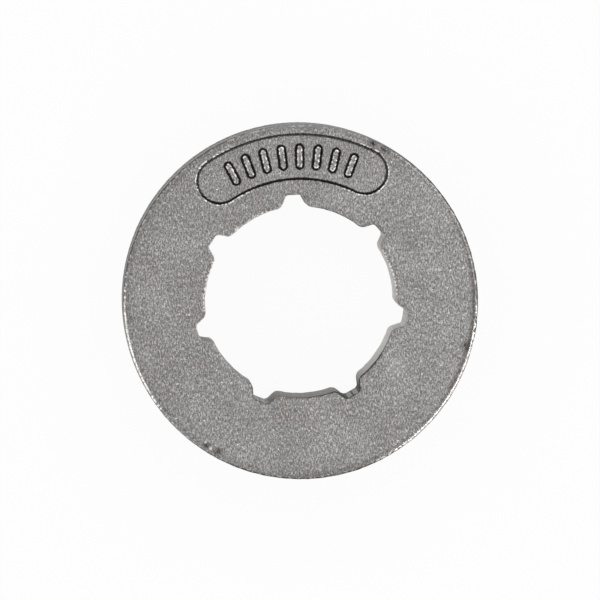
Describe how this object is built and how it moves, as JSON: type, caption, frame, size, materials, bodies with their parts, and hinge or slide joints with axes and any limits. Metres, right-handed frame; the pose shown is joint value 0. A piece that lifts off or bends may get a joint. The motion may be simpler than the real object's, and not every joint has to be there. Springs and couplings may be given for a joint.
{
  "type": "chainsaw rim sprocket",
  "caption": "Round steel drive rim with a splined bore, drive-link pockets between two flanges, and a curved marking panel on one face.",
  "frame": {"origin": "centre of the lower face, on the bore's axis", "axes": "+Z along the bore, out of the marked face; +Y towards the marking panel"},
  "size_m": [0.0356, 0.0356, 0.0125],
  "materials": {
    "cast_steel": "shot-blasted steel casting with a fine grainy skin"
  },
  "bodies": {
    "root": {"rim_sprocket": "cast_steel"}
  },
  "joints": []
}
